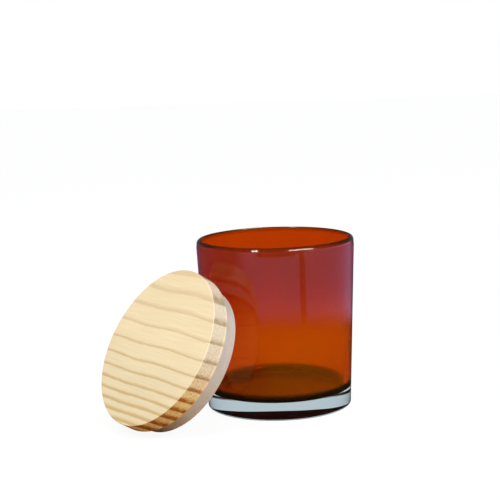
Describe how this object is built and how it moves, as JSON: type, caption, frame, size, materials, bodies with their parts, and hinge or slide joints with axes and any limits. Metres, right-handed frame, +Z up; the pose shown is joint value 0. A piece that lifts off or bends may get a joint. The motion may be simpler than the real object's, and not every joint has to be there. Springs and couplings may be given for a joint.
{
  "type": "empty candle jar with lid",
  "caption": "Straight-sided amber-coated glass candle tumbler on a thick clear base, with its push-in pine lid and silicone seal leaning beside it.",
  "frame": {"origin": "centre of the jar's base face, on the surface that the jar and the lid stand on", "axes": "+Z up along the jar's axis, out of its mouth; the lid leans on the jar's -X, -Y side"},
  "size_m": [0.128, 0.1183, 0.086],
  "materials": {
    "clear_glass": "fire-polished, clear",
    "amber_lacquer": "transparent amber colour coat, glossy",
    "pine": "sanded, unvarnished",
    "silicone": "translucent, satin"
  },
  "bodies": {
    "jar": {"glass_jar": "clear_glass", "amber_coat": "amber_lacquer"},
    "seal": {"silicone_seal": "silicone"},
    "wooden_lid": {"pine_lid": "pine"}
  },
  "joints": [
    {"name": "lid_lift", "type": "slide", "parent": "jar", "child": "seal", "axis": [-0.1394, -0.1035, 0.9848], "range_m": [0, 0.1]},
    {"name": "lid_pull", "type": "slide", "parent": "seal", "child": "wooden_lid", "axis": [-0.6845, -0.5084, 0.5225], "range_m": [0, 0.02]}
  ]
}
